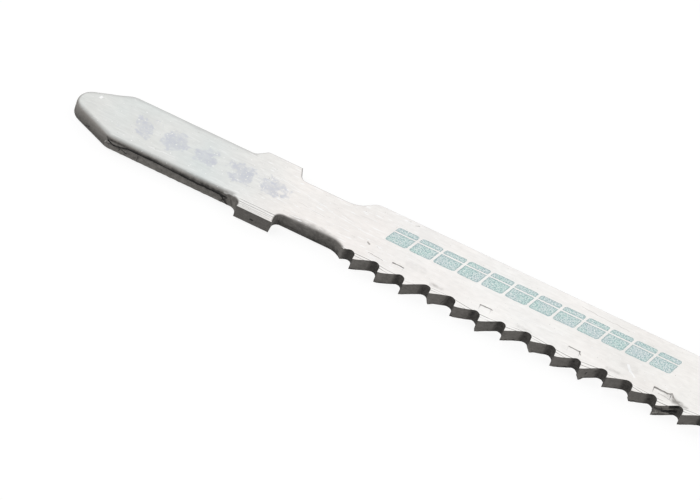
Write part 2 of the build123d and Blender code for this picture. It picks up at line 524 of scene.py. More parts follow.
def wall_relief(x, y, height):
    """Distance that a point of the wall moves outwards, and how dark it is there: grime in gouges and burrs,
    painted shade in the crevice.
    """
    out = 0.008 * rough(x, y, height, 0.35)
    dirt_and_crevice_shade = 0.0
    if y > 0 or x > TOOTH_EDGE_X or abs(y) > TANG_HALF - 0.05:
        deep = crevice(x, wall_level(x, y, height)) * (1 if y < 0 else 0.5)
        below = pressed(x) * (1 - smooth(0.75, 0.85, height))
        out += -CREVICE_DEPTH * deep + 0.04 * below * rough(x, 0, height, 0.4, 2.0)
        # Painted shade: the crevice under the pressed rounding is blackened.
        dirt_and_crevice_shade = smooth(0, 0.35, deep)
    if y < 0:
        for x1, h1, x2, h2, half, depth, black in GOUGES:
            if min(x1, x2) - half < x < max(x1, x2) + half:
                away = near_line(x, height * THICKNESS, x1, h1 * THICKNESS, x2, h2 * THICKNESS)
                inside = 1 - smooth(0.3 * half, 1.3 * half, away)
                out -= depth * inside
                dirt_and_crevice_shade = max(dirt_and_crevice_shade, black * inside)
    if x > TOOTH_EDGE_X and y < 0:
        burr = ragged(x, y, height)
        out += 0.045 * burr
        dirt_and_crevice_shade = max(dirt_and_crevice_shade, min(1, 1.3 * burr))
    return out, dirt_and_crevice_shade


print(len(GOUGES), "gouges, pits and lumps on the walls")


# %% How light the dark coat is, with its painted shade
def wall_tone_and_shade(x, y, height):
    """Tone of a wall from 0, nearly black, to 1, mid grey. It holds painted shade: darker towards the floor
    on the nose and neck, darker under the pressed rounding, and darker in the gullets' rounds, there partly a
    heat tint. The lug and teeth are also darker just under their top edge.
    """
    mottled = 0.12 * rough(x, y, height, 0.5, 5.0) + 0.12 * rough(x, y, height, 0.2, 6.0)
    if x > TOOTH_EDGE_X and y < -1.5:
        tooth, phase = divmod(x - FIRST_TIP_X, PITCH)
        flank = 1 - smooth(1.4, 1.6, phase)
        patchy = 0.5 + 0.5 * rough(tooth, 0, 0, 1.7, 2.0)
        shade = 0.12 * rough(tooth, 0, 0, 1.3, 11.0)
        return 0.17 + (0.38 + shade) * flank - 0.2 * smooth(0.93, 0.99, height) + mottled * (0.3 + patchy)
    if x < PRESS_FROM_X:
        return 0.33 + 0.42 * smooth(0.15, 1, height) + 0.25 * mottled
    if x < LUG_X - 0.3:
        return 0.62 + mottled * 1.5 - 0.42 * pressed(x) * smooth(0.86, 1, height)
    if x < 0.1:
        return 0.41 - 0.2 * smooth(0.95, 1, height) + 0.12 * mottled
    pits = smooth(0.1, 0.5, rough(x, 0, 0, 0.45, 8.0)) * (1 - smooth(0.1, 0.35, height))
    return 0.19 + 0.28 * smooth(0.1, 0.8, height) - 0.06 * smooth(2.5, 4.5, x) + 1.2 * mottled - 0.15 * pits


# %% Worn and chipped teeth
# How far the corner has gone back, and up to which share of the wall; the last two are out of view
CHIPPED_TEETH = {
    3: (0.25, 0.5), 5: (0.12, 0.3), 7: (0.34, 0.38), 9: (0.34, 0.4), 11: (0.22, 0.26), 17: (0.2, 0.3),
    24: (0.3, 0.35),
}


def chip(x, y, height):
    """Blunts the lower front corner of a few teeth: the distance that a point moves back."""
    tooth = round((x - FIRST_TIP_X) / PITCH)
    amount, reach = CHIPPED_TEETH.get(tooth, (0, 1))
    ahead = x - (FIRST_TIP_X + tooth * PITCH)
    if not amount or y > TIP_Y + 0.75 or ahead < -0.01:
        return 0.0
    near = (1 - smooth(0, 0.8, ahead)) * (1 - smooth(0.3, 0.75, y - TIP_Y))
    return amount * near * max(0, 1 - height / reach)


def tip_wear(x, y):
    """How far a worn tip has moved in from where it was ground; every tooth is a little different."""
    tooth = round((x - FIRST_TIP_X) / PITCH)
    near = math.hypot(x - FIRST_TIP_X - tooth * PITCH, y - TIP_Y)
    return (0.04 + 0.03 * rough(tooth, 0, 0, 1.3, 7.0)) * (1 - smooth(0.03, 0.4, near))


print(len(CHIPPED_TEETH), "teeth have a chipped corner")

# %% Move every vertex
# The dark coat of the walls, and painted shade on the rounded rims.
coat_and_rim_shade = bm.verts.layers.float.new("coat_and_rim_shade")
tone = bm.verts.layers.float.new("tone")
outward = {}
bm.normal_update()
for face in bm.faces:
    if abs(face.normal.z) < 0.5:
        for vert in face.verts:
            outward[vert] = outward.get(vert, Vector()) + face.normal * face.calc_area() ** 0.5

for vert in bm.verts:
    x, y, z = vert.co
    distance = vert[from_edge]
    if distance > UPPER_RINGS[-1] - 0.001 and x < LUG_X:
        distance = max(distance, TANG_HALF - abs(y))
    radius = rim_radius(x, y)
    height = z / THICKNESS
    toothed = x > TOOTH_EDGE_X and y < -1.5
    if vert in outward or height < 0.5:
        vert[tone] = wall_tone_and_shade(x, y, height)
    else:
        # A rounded rim takes on the painted shade of the wall's top as it turns.
        vert[tone] = wall_tone_and_shade(x, y, 0.85 + 0.15 * smooth(38, 82, turned(radius, distance)))
    if vert in outward:
        out, dirt_and_crevice_shade = wall_relief(x, y, height)
        push = outward[vert].normalized() * out
        vert.co.x += push.x
        vert.co.y += push.y
        vert.co.z = wall_level(x, y, height)
        vert[grime_and_crevice_shade] = max(vert[grime_and_crevice_shade], dirt_and_crevice_shade)
        vert[coat_and_rim_shade] = 1.0
    elif height > 0.5:
        vert.co.z = THICKNESS - sink(radius, distance) - GROOVE_DEPTH * vert[groove]
        # Painted shade: the rim grows darker as its round turns away from level.
        vert[coat_and_rim_shade] = smooth(0, 62, turned(radius, distance))
    else:
        vert.co.z = sink(BURR, distance)
    if toothed:
        vert.co.x += chip(x, y, height)
        vert.co.y += tip_wear(x, y)
    vert.co.z += lift(x, y)
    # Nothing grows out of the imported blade's own box
    vert.co = Vector([min(max(c, low / MM), high / MM) for c, low, high in zip(vert.co, *cad_box)])
print("moved", len(bm.verts), "points")

# %% Painted highlight: a bright sliver at the end of the pressed edge, where the rim's painted shade is lifted
for vert in bm.verts:
    x, y, z = vert.co
    if -4.95 < x < -3.95 and y < -2.7 and z > 0.85 and 0.05 < vert[from_edge] < 0.07:
        vert[coat_and_rim_shade] *= 0.15

# %% Close the mesh and make the piece
bmesh.ops.remove_doubles(bm, verts=bm.verts, dist=1e-5)
bmesh.ops.triangulate(bm, faces=[f for f in bm.faces if len(f.verts) > 4])
bmesh.ops.scale(bm, vec=(MM, MM, MM), verts=bm.verts)
bmesh.ops.recalc_face_normals(bm, faces=bm.faces)
for face in bm.faces:
    face.smooth = True
open_edges = sum(1 for edge in bm.edges if len(edge.link_faces) != 2)
blade_mesh = bpy.data.meshes.new("set_blade")
volume = bm.calc_volume(signed=True)
bm.to_mesh(blade_mesh)
bm.free()
blade = bpy.data.objects.new("set_blade", blade_mesh)
bpy.context.scene.collection.objects.link(blade)
triangles = sum(len(p.vertices) - 2 for p in blade_mesh.polygons)
print("blade:", triangles, "triangles,", open_edges, "open edges,", round(volume / MM ** 3, 1), "cubic mm")

# %% [markdown]
# ## Node helpers
#
# Materials are built from nodes in code. Two short helpers keep that readable: one adds a node with
# its settings and inputs, and one adds a piece of arithmetic.


# %% Node helpers
def add(tree, kind, inputs=None, **settings):
    """One node. An input is a number or colour, or another node's output to link."""
    made = tree.nodes.new("ShaderNode" + kind)
    for name, value in settings.items():
        setattr(made, name, value)
    for key, value in (inputs or {}).items():
        if isinstance(value, bpy.types.NodeSocket):
            tree.links.new(value, made.inputs[key])
        else:
            made.inputs[key].default_value = value
    return made


def calc(tree, operation, first, second=0.0, clamp=False):
    """Output of one piece of arithmetic."""
    return add(tree, "Math", {0: first, 1: second}, operation=operation, use_clamp=clamp).outputs[0]


def ramp(tree, value, low, high, to_low=0.0, to_high=1.0):
    """A value carried smoothly from one range to another."""
    inputs = {"Value": value, "From Min": low, "From Max": high, "To Min": to_low, "To Max": to_high}
    return add(tree, "MapRange", inputs, interpolation_type="SMOOTHSTEP").outputs["Result"]


def tint(tree, mask, under, over):
    """One colour laid over another where a mask says."""
    inputs = {0: mask, 6: under, 7: over}
    return add(tree, "Mix", inputs, data_type="RGBA").outputs[2]


def colour(red, green, blue):
    """A colour as it is read off a screen, 0 to 255, made linear."""
    def linear(level):
        level /= 255
        return level / 12.92 if level <= 0.04045 else ((level + 0.055) / 1.055) ** 2.4
    return (linear(red), linear(green), linear(blue), 1.0)


print("bright steel, linear:", [round(c, 2) for c in colour(238, 237, 234)])

# %% [markdown]
# ## Patterns
#
# The finish is made of a few patterns that come back with other values: a rounded patch for every
# printed shape, a straight mark for every scratch, flecks for worn ink, bright specks and pits.
# Each is a node group with named inputs. They all work in millimetres, so the object's own
# coordinates are scaled once and a size in a node is a size on the blade.


# %% Group helpers
def new_group(name, sockets, result):
    """A node group with float inputs, its entry and a call that wires its one result."""
    group = bpy.data.node_groups.new(name, "ShaderNodeTree")
    for socket, default in sockets.items():
        made = group.interface.new_socket(socket, in_out="INPUT", socket_type="NodeSocketFloat")
        made.default_value = default
    group.interface.new_socket(result, in_out="OUTPUT", socket_type="NodeSocketFloat")
    entry = group.nodes.new("NodeGroupInput").outputs
    leave = group.nodes.new("NodeGroupOutput").inputs

    def wire(value):
        """Gives the group its result."""
        group.links.new(value, leave[result])
    return group, entry, wire


def use(tree, group, **inputs):
    """Output of one placed group; an underscore in a name stands for a space."""
    named = {key.replace("_", " "): value for key, value in inputs.items()}
    return add(tree, "Group", named, node_tree=group).outputs[0]


# %% Rounded patch: distance to its outline in mm, less than 0 inside
patch, entry, wire = new_group("rounded_patch", {
    "x": 0, "y": 0, "middle x": 0, "middle y": 0, "half length": 1, "half width": 1, "radius": 0.1,
}, "distance")
sides = []
for axis, half in (("x", "half length"), ("y", "half width")):
    offset = calc(patch, "ABSOLUTE", calc(patch, "SUBTRACT", entry[axis], entry["middle " + axis]))
    inner = calc(patch, "SUBTRACT", entry[half], entry["radius"])
    sides.append(calc(patch, "MAXIMUM", calc(patch, "SUBTRACT", offset, inner), 0.0))
corner_distance = add(patch, "VectorMath", {
    0: add(patch, "CombineXYZ", {0: sides[0], 1: sides[1]}).outputs[0],
}, operation="LENGTH").outputs["Value"]
wire(calc(patch, "SUBTRACT", corner_distance, entry["radius"]))

# %% Straight mark: 1 on a line that starts at a point and runs at an angle
mark_line, entry, wire = new_group("straight_mark", {
    "x": 0, "y": 0, "start x": 0, "start y": 0, "angle": 0, "length": 1, "width": 0.05,
}, "mask")
right = calc(mark_line, "SUBTRACT", entry["x"], entry["start x"])
up = calc(mark_line, "SUBTRACT", entry["y"], entry["start y"])
cosine = calc(mark_line, "COSINE", entry["angle"])
sine = calc(mark_line, "SINE", entry["angle"])
run = calc(
    mark_line, "ADD", calc(mark_line, "MULTIPLY", right, cosine), calc(mark_line, "MULTIPLY", up, sine)
)
aside = calc(
    mark_line, "SUBTRACT", calc(mark_line, "MULTIPLY", up, cosine), calc(mark_line, "MULTIPLY", right, sine)
)
past_end = calc(mark_line, "SUBTRACT", calc(mark_line, "ABSOLUTE", calc(
    mark_line, "SUBTRACT", run, calc(mark_line, "MULTIPLY", entry["length"], 0.5)
)), calc(mark_line, "MULTIPLY", entry["length"], 0.5))
reach = calc(mark_line, "MAXIMUM", calc(mark_line, "ABSOLUTE", aside), past_end)
wire(ramp(mark_line, reach, calc(mark_line, "MULTIPLY", entry["width"], 0.5), entry["width"], 1.0, 0.0))

# %% Flecks: soft specks of about one size that cover a share of the surface
flecks, entry, wire = new_group("flecks", {
    "x": 0, "y": 0, "size": 0.2, "share": 0.3, "softness": 0.05,
}, "mask")
spot = add(flecks, "CombineXYZ", {0: entry["x"], 1: entry["y"]}).outputs[0]
grain = add(flecks, "TexNoise", {
    "Vector": spot, "Scale": calc(flecks, "DIVIDE", 1.0, entry["size"]), "Detail": 1.0, "Roughness": 0.4,
}).outputs["Fac"]
limit = calc(flecks, "SUBTRACT", 0.74, calc(flecks, "MULTIPLY", entry["share"], 0.5))
wire(ramp(flecks, grain, limit, calc(flecks, "ADD", limit, entry["softness"])))
print("groups:", [group.name for group in bpy.data.node_groups])

# %% [markdown]
# ## Bright steel
#
# The faces are satin steel: a metal that is nearly white, a little greyer towards the shank's tip
# and slightly cloudy, with a fine grain along the strip. A single grey would look like plastic, so
# the tone comes from three sizes of noise, the longest of them drawn out along the blade.

# %% Places and masks that the whole finish uses
steel = bpy.data.materials.new("blade_steel")
steel.use_nodes = True
tree = steel.node_tree
surface = tree.nodes["Principled BSDF"]
object_place = add(tree, "TexCoord").outputs["Object"]
place_mm = add(tree, "Mapping", {"Vector": object_place, "Scale": (1000, 1000, 1000)}).outputs[0]
along, across, level = add(tree, "SeparateXYZ", {0: place_mm}).outputs
# The dark coat of the walls, with painted shade on the rounded rims.
coat_and_rim_shade_mask = add(tree, "Attribute", attribute_name="coat_and_rim_shade").outputs["Fac"]
# Grime, and painted shade in the crevice.
grime_and_crevice_shade_mask = add(tree, "Attribute", attribute_name="grime_and_crevice_shade").outputs["Fac"]
tone_value = add(tree, "Attribute", attribute_name="tone").outputs["Fac"]
bright = calc(tree, "SUBTRACT", 1.0, coat_and_rim_shade_mask)
upper_side = calc(tree, "MULTIPLY", ramp(tree, level, 0.6, 0.7), bright)


def clouds(tree, size, stretch=(1, 1, 1), detail=2.0):
    """Noise from 0 to 1 with bumps of about one size in mm; a stretch below 1 draws them out."""
    laid = add(tree, "Mapping", {"Vector": place_mm, "Scale": stretch}).outputs[0]
    return add(tree, "TexNoise", {"Vector": laid, "Scale": 1 / size, "Detail": detail}).outputs["Fac"]


def bands(tree, value, stops):
    """A colour that changes with a value; the stops are value and colour."""
    low, high = stops[0][0], stops[-1][0]
    share = ramp_line(tree, value, low, high)
    node = add(tree, "ValToRGB", {0: share})
    points = node.color_ramp.elements
    points[0].color, points[1].color = stops[0][1], stops[-1][1]
    for at, shade in stops[1:-1]:
        points.new((at - low) / (high - low)).color = shade
    return node.outputs["Color"]


def ramp_line(tree, value, low, high, to_low=0.0, to_high=1.0):
    """A value carried evenly from one range to another and held at its ends."""
    inputs = {"Value": value, "From Min": low, "From Max": high, "To Min": to_low, "To Max": to_high}
    return add(tree, "MapRange", inputs).outputs["Result"]


# %% Face of the strip
SHANK_GREY = colour(219, 222, 220)
face_colour = bands(tree, along, [
    (SHANK_TIP_X, SHANK_GREY), (-8.0, colour(220, 225, 224)), (1.0, colour(242, 239, 236)),
    (11.0, colour(242, 240, 238)), (20.0, colour(248, 247, 245)), (34.0, colour(241, 239, 236)),
    (FREE_END_X, colour(242, 241, 238)),
])
warm_patches = ramp_line(tree, clouds(tree, 5.0), 0.35, 0.65)
face_colour = tint(tree, calc(tree, "MULTIPLY", warm_patches, 0.25), face_colour, colour(241, 233, 228))
broad = ramp_line(tree, clouds(tree, 2.2, (0.5, 1, 1)), 0.3, 0.7, -0.03, 0.03)
small = ramp_line(tree, clouds(tree, 0.4, (0.6, 1, 1), 3.0), 0.3, 0.7, -0.03, 0.03)
brushed = ramp_line(tree, clouds(tree, 0.14, (0.1, 1, 1), 2.0), 0.3, 0.7, -0.022, 0.022)
factor = calc(tree, "ADD", calc(tree, "ADD", broad, small), calc(tree, "ADD", brushed, 1.0))
face_colour = add(tree, "VectorMath", {0: face_colour, 3: factor}, operation="SCALE").outputs[0]
print("face tone runs from", [round(c, 2) for c in SHANK_GREY[:3]], "at the shank's tip")

# %% Soft shade inside the shank's rim
# Painted shade: the face darkens towards the shank's edges over more than the rim's round.
nose_run = calc(tree, "MULTIPLY", calc(tree, "SUBTRACT", along, nose_apex_x), math.sin(NOSE_TAPER))
sideways = calc(tree, "ABSOLUTE", across)
from_flat = calc(tree, "SUBTRACT", nose_run, calc(tree, "MULTIPLY", sideways, math.cos(NOSE_TAPER)))
from_side = calc(tree, "SUBTRACT", TANG_HALF, sideways)
from_rim = calc(tree, "MINIMUM", from_flat, from_side)
on_tang = ramp(tree, along, LUG_X - 0.9, LUG_X - 0.5, 1.0, 0.0)
tooth_side = ramp(tree, across, -0.5, 0.5, 1.0, 0.45)
soft_shade = calc(tree, "MULTIPLY", ramp(tree, from_rim, 0.15, 0.62, 0.5, 0.0), on_tang)
soft_shade = calc(tree, "MULTIPLY", soft_shade, tooth_side)
face_colour = tint(tree, soft_shade, face_colour, colour(120, 119, 117))
# Painted shade along the neck's rim on the tooth side too.
uneven_rim = ramp_line(tree, clouds(tree, 0.8), 0.3, 0.7, -0.15, 0.15)
from_neck = calc(tree, "ADD", calc(tree, "ADD", across, NECK_HALF), uneven_rim)
on_neck = calc(tree, "MULTIPLY", ramp(tree, along, 0.7, 2.0), ramp(tree, along, 4.6, 6.4, 1.0, 0.0))
neck_shade = calc(tree, "MULTIPLY", ramp(tree, from_neck, 0.1, 0.75, 0.55, 0.0), on_neck)
face_colour = tint(tree, neck_shade, face_colour, colour(130, 127, 124))

# %% Marks on the face
face_specks = use(tree, flecks, x=along, y=across, size=0.22, share=0.05, softness=0.04)
face_colour = tint(tree, calc(tree, "MULTIPLY", face_specks, 0.8), face_colour, colour(252, 252, 252))
shifted = calc(tree, "ADD", across, 31.0)
dark_specks = use(tree, flecks, x=along, y=shifted, size=0.17, share=0.0, softness=0.05)
face_colour = tint(tree, calc(tree, "MULTIPLY", dark_specks, 0.5), face_colour, colour(150, 147, 143))
# Start x, start y, angle in degrees, length, width, strength, and whether it is dark
FACE_SCRATCHES = [
    (8.15, -1.1, -35, 0.22, 0.1, 0.7, True), (33.05, -1.05, -62, 0.7, 0.17, 1.0, False),
    (33.35, -1.6, -42, 0.7, 0.13, 0.9, False), (35.85, -2.18, 0, 1.15, 0.14, 0.75, True),
    (36.95, -2.16, 20, 0.5, 0.1, 0.7, True), (37.45, -2.0, -60, 0.4, 0.1, 0.7, True),
    (37.6, -2.3, -38, 1.0, 0.09, 0.45, True), (19.29, -2.16, 0, 1.1, 0.09, 0.6, True),
    (10.9, -2.12, -1, 1.0, 0.09, 0.7, True), (27.75, -2.12, -2, 1.0, 0.09, 0.6, True),
    (28.7, -2.15, -64, 0.4, 0.08, 0.7, True), (36.3, -2.55, -8, 1.2, 0.05, 0.35, True),
    (10.4, 3.62, 10, 0.25, 0.06, 0.4, True), (11.2, 3.55, 10, 0.3, 0.06, 0.4, True),
    (-1.2, 1.6, -12, 5.5, 0.05, 0.5, False), (1.2, -0.3, -6, 2.6, 0.04, 0.25, True),
    (3.8, 0.4, -8, 4.0, 0.05, 0.5, False), (8.6, -2.3, -4, 1.4, 0.05, 0.6, True),
    (-18.6, 0.95, 70, 0.2, 0.16, 0.9, False), (-12.6, -2.1, 4, 2.4, 0.05, 0.5, False),
    (22.8, -1.5, 3, 3.1, 0.05, 0.4, False), (27.4, 3.2, -3, 4.6, 0.05, 0.3, True),
    (40.5, 0.8, 5, 6.5, 0.05, 0.4, False), (52.0, -0.4, -4, 5.0, 0.05, 0.35, True),
    (63.0, 2.2, 3, 4.0, 0.05, 0.4, False), (-3.2, -3.64, 0, 2.9, 0.05, 0.35, True),
    (-2.9, -3.8, -1, 2.6, 0.05, 0.3, True), (-3.0, -3.28, 0, 2.6, 0.05, 0.3, True),
]
crooked = calc(tree, "ADD", across, ramp_line(tree, clouds(tree, 0.6), 0.3, 0.7, -0.07, 0.07))
for x, y, angle, length, width, strength, dark in FACE_SCRATCHES:
    mask = use(
        tree, mark_line, x=along, y=crooked, start_x=x, start_y=y, angle=math.radians(angle),
        length=length, width=width,
    )
    shade = colour(140, 136, 132) if dark else colour(253, 253, 253)
    face_colour = tint(tree, calc(tree, "MULTIPLY", mask, strength), face_colour, shade)
# Short fine scratches, light and dark, densest from the lugs to the first teeth
scratched = ramp(tree, calc(tree, "ABSOLUTE", calc(tree, "SUBTRACT", along, 4.0)), 5.0, 12.0, 1.0, 0.25)
fine = clouds(tree, 0.16, (0.13, 1, 1), 1.0)
light_fine = calc(tree, "MULTIPLY", ramp(tree, fine, 0.64, 0.69, 0.0, 0.8), scratched)
face_colour = tint(tree, light_fine, face_colour, colour(253, 253, 253))
dark_fine = calc(tree, "MULTIPLY", ramp(tree, fine, 0.28, 0.32, 0.14, 0.0), scratched)
face_colour = tint(tree, dark_fine, face_colour, colour(150, 147, 143))
print(len(FACE_SCRATCHES), "scratches on the face, and many fine ones")

# %% Weld lines, smudges, and painted shade over the bends
# Fine lines run along the roots of the teeth, most likely where a hard strip is welded on.
# They come and go there, and are nearly unbroken on the lug.
from_lug = ramp(tree, along, LUG_X - 0.3, LUG_X + 0.2)
come_and_go = ramp_line(tree, clouds(tree, 0.8, (0.4, 3, 1)), 0.38, 0.56)
come_and_go = calc(tree, "MAXIMUM", come_and_go, ramp(tree, along, 0.0, 0.6, 0.75, 0.0))
wander = ramp_line(tree, clouds(tree, 1.5, (0.3, 1, 1)), 0.0, 1.0, -0.12, 0.12)
for weld_y, strength in ((-3.12, 0.7), (-3.42, 0.8)):
    aside = calc(tree, "ABSOLUTE", calc(tree, "ADD", calc(tree, "SUBTRACT", across, weld_y), wander))
    dark_line = calc(tree, "MULTIPLY", ramp(tree, aside, 0.012, 0.05, strength, 0.0), from_lug)
    dark_line = calc(tree, "MULTIPLY", dark_line, come_and_go)
    face_colour = tint(tree, dark_line, face_colour, colour(96, 92, 88))
    light_aside = calc(tree, "ABSOLUTE", calc(tree, "SUBTRACT", aside, 0.1))
    light_line = calc(tree, "MULTIPLY", ramp(tree, light_aside, 0.01, 0.05, 0.5, 0.0), from_lug)
    face_colour = tint(tree, light_line, face_colour, colour(252, 252, 250))
# Middle x, middle y, half length, half width and strength
# The first three lie over crests of the wave and are painted shade where the strip bends; the one at x -4.35
# is painted shade where the pressed rounding ends. The rest darken the face near the teeth.
SMUDGES_AND_BEND_SHADE = [
    (15.2, -2.6, 0.5, 0.08, 0.3), (23.5, -2.68, 0.6, 0.08, 0.22), (32.0, -2.6, 0.6, 0.1, 0.28),
    (38.1, -2.65, 0.4, 0.16, 0.7), (38.75, -2.88, 0.3, 0.08, 0.5), (37.4, -2.45, 0.5, 0.16, 0.3),
    (-4.35, -2.88, 0.35, 0.05, 0.2), (14.9, -2.45, 0.25, 0.05, 0.3), (12.9, -1.4, 0.9, 0.35, 0.11),
    (33.2, -1.35, 0.8, 0.3, 0.11),
]
uneven = ramp_line(tree, clouds(tree, 0.35), 0.3, 0.6, 0.4, 1.0)
for x, y, half_length, half_width, strength in SMUDGES_AND_BEND_SHADE:
    away = use(
        tree, patch, x=along, y=across, middle_x=x, middle_y=y, half_length=half_length,
        half_width=half_width, radius=half_width,
    )
    mask = calc(tree, "MULTIPLY", ramp(tree, away, -0.1, 0.3, strength, 0.0), uneven)
    face_colour = tint(tree, mask, face_colour, colour(120, 116, 112))
print(len(SMUDGES_AND_BEND_SHADE), "smudges near the teeth")

# %% [markdown]
# ## Print
#
# The real blade is printed in pale teal ink. Here that is a plain depth scale: a bar of slanted
# fields with one pale line through them, and a row of faded marks on the shank. Screen ink on steel
# breaks up into dots and has a darker rim where it dried, so the same wear goes over all of it.


# %% Worn ink
def ink(distance, size, wear, softness=0.03):
    """Masks of one printed shape: where its ink is left, and its darker rim."""
    edge = calc(tree, "ADD", distance, ramp_line(tree, clouds(tree, 0.12), 0.0, 1.0, -0.05, 0.05))
    left = ramp(tree, edge, -softness, softness, 1.0, 0.0)
    gone = use(tree, flecks, x=along, y=across, size=size, share=wear, softness=0.12)
    left = calc(tree, "MULTIPLY", calc(tree, "SUBTRACT", left, gone, clamp=True), upper_side)
    rim = ramp(tree, calc(tree, "ABSOLUTE", calc(tree, "ADD", edge, 0.05)), 0.02, 0.09, 1.0, 0.0)
    return left, calc(tree, "MULTIPLY", rim, left)


def wrap(value, shift, half):
    """A value that starts again every two halves, so one shape repeats along the blade."""
    shifted = calc(tree, "ADD", value, shift)
    return add(tree, "Math", {0: shifted, 1: half, 2: -half}, operation="WRAP").outputs[0]


# %% Depth scale on the body
SCALE_MIDDLE_X = 23.3
SCALE_Y = 1.28
FIELD = 2.3
FIELDS = 12
SLANT = 0.32
PALE_LINE_Y = SCALE_Y + 0.4
PALE_LINE_HALF = 0.08
lean = calc(tree, "MULTIPLY", calc(tree, "SUBTRACT", across, SCALE_Y), SLANT)
slanted = calc(tree, "SUBTRACT", along, lean)
in_field = wrap(calc(tree, "SUBTRACT", slanted, SCALE_MIDDLE_X), FIELD / 2, FIELD / 2)
blocks = use(
    tree, patch, x=in_field, y=across, middle_x=0.0, middle_y=SCALE_Y, half_length=FIELD / 2 - 0.12,
    half_width=1.1, radius=0.25,
)
# One pale line runs through all fields
from_line = calc(tree, "ABSOLUTE", calc(tree, "SUBTRACT", across, PALE_LINE_Y))
openings = calc(tree, "SUBTRACT", PALE_LINE_HALF, from_line)
past_ends = calc(
    tree, "SUBTRACT", calc(tree, "ABSOLUTE", calc(tree, "SUBTRACT", slanted, SCALE_MIDDLE_X)),
    FIELD * FIELDS / 2,
)
blocks = calc(tree, "MAXIMUM", calc(tree, "MAXIMUM", blocks, openings), past_ends)
scale_ink, scale_rim = ink(blocks, 0.13, 0.26)

dark_y, pale_y = (calc(tree, "ADD", across, shift) for shift in (17.0, 43.0))
dark_dots = use(tree, flecks, x=along, y=dark_y, size=0.13, share=0.44, softness=0.06)
pale_dots = use(tree, flecks, x=along, y=pale_y, size=0.16, share=0.4, softness=0.08)
blueish = ramp_line(tree, clouds(tree, 1.6), 0.38, 0.62)
teal = tint(tree, blueish, colour(199, 223, 219), colour(210, 222, 224))
teal = tint(tree, calc(tree, "MULTIPLY", pale_dots, 0.75), teal, colour(238, 243, 241))
teal = tint(tree, calc(tree, "MULTIPLY", dark_dots, 0.8), teal, colour(142, 176, 178))
teal = tint(tree, calc(tree, "MULTIPLY", scale_rim, 0.45), teal, colour(136, 164, 166))
face_colour = tint(tree, scale_ink, face_colour, teal)

# %% Faded marks on the shank
MARKS = 5
MARK_PITCH = 3.1
MARKS_MIDDLE_X = -7.7
past_marks = calc(
    tree, "SUBTRACT", calc(tree, "ABSOLUTE", calc(tree, "SUBTRACT", along, MARKS_MIDDLE_X)),
    MARKS * MARK_PITCH / 2,
)
faded = use(
    tree, patch, x=wrap(calc(tree, "SUBTRACT", along, MARKS_MIDDLE_X), 0.0, MARK_PITCH / 2), y=across,
    middle_x=0.0, middle_y=0.0, half_length=1.1, half_width=1.25, radius=0.9,
)
frayed = ramp_line(tree, clouds(tree, 0.9), 0.3, 0.7, -0.45, 0.75)
faded = calc(tree, "ADD", calc(tree, "MAXIMUM", faded, past_marks), frayed)
shank_ink, shank_rim = ink(faded, 0.22, 0.3, 0.22)
shank_ink = calc(tree, "MULTIPLY", shank_ink, ramp_line(tree, clouds(tree, 0.7), 0.3, 0.65, 0.3, 0.85))
violet = tint(tree, calc(tree, "MULTIPLY", shank_rim, 0.2), colour(205, 208, 217), colour(186, 189, 202))
face_colour = tint(tree, shank_ink, face_colour, violet)
all_ink = calc(tree, "MAXIMUM", scale_ink, shank_ink)
print("print: a scale of", FIELDS, "fields,", round(FIELD * FIELDS, 1), "mm long, and", MARKS, "faded marks")

# %% [markdown]
# ## Dark walls
#
# The punched and ground edges are dark, most likely with oxide and oil. Their tone was worked out
# for every vertex, with painted shade towards the floor, under the rims and in the gullets, and a
# fine streaked noise breaks it up. Grime, and painted shade in the crevice, cover the deepest places.
# Bright steel is a metal, and ink, oxide, grime and painted shade are not, so the same masks drive
# the metal.

# %% Walls
streaks = ramp_line(tree, clouds(tree, 0.14, (0.35, 1, 1), 3.0), 0.3, 0.7, -0.07, 0.07)
speckle = ramp_line(tree, clouds(tree, 0.09, (1, 1, 0.5), 2.0), 0.3, 0.7, -0.05, 0.05)
wall_tone_value = calc(tree, "ADD", calc(tree, "ADD", tone_value, speckle), streaks, clamp=True)
wall_colour = tint(tree, wall_tone_value, colour(36, 34, 32), colour(161, 157, 152))
# Start x, start z, angle, length, width, strength, and whether it is dark
# The light marks at x -16.24 and -16.16 are a painted highlight along the top of a lump, and the dark one at
# -16.1 is painted shade under it.
WALL_MARKS_AND_LUMP_LIGHT = [
    (37.15, 0.53, -4, 0.7, 0.09, 0.9, True), (37.35, 0.4, 7, 0.95, 0.2, 1.0, True),
    (37.7, 0.27, -10, 0.5, 0.11, 0.9, True), (36.55, 0.75, -12, 0.55, 0.08, 0.6, True),
    (37.8, 1.02, 10, 0.45, 0.24, 0.9, True), (36.95, 1.0, -58, 0.4, 0.05, 0.6, True),
    (36.45, -0.02, 24, 0.5, 0.07, 0.8, False), (36.7, 0.35, -62, 0.35, 0.05, 0.5, False),
    (37.15, 0.24, -12, 0.75, 0.07, 0.6, False), (36.5, -0.1, 3, 1.1, 0.05, 0.9, True),
    (-16.24, 0.5, 72, 0.22, 0.06, 0.7, False), (-16.16, 0.74, -12, 0.34, 0.06, 0.7, False),
    (-16.1, 0.45, 12, 0.45, 0.06, 0.7, True), (-15.05, 0.58, -34, 0.3, 0.06, 0.8, True),
    (-14.85, 0.3, 60, 0.22, 0.05, 0.7, True), (-14.7, 0.6, -12, 0.5, 0.06, 0.5, False),
    (-14.3, 0.15, 64, 0.35, 0.04, 0.6, True), (-13.06, 0.08, 88, 0.6, 0.04, 0.6, True),
    (-1.8, 0.56, 0, 0.18, 0.1, 0.8, True), (29.95, 0.55, 80, 0.16, 0.08, 0.7, True),
    (-18.55, 0.14, 36, 0.5, 0.05, 0.9, True), (16.1, 0.3, 74, 0.5, 0.05, 0.5, True),
]
wobble = ramp_line(tree, clouds(tree, 0.4), 0.3, 0.7, -0.08, 0.08)
crooked_level = calc(tree, "ADD", level, wobble)
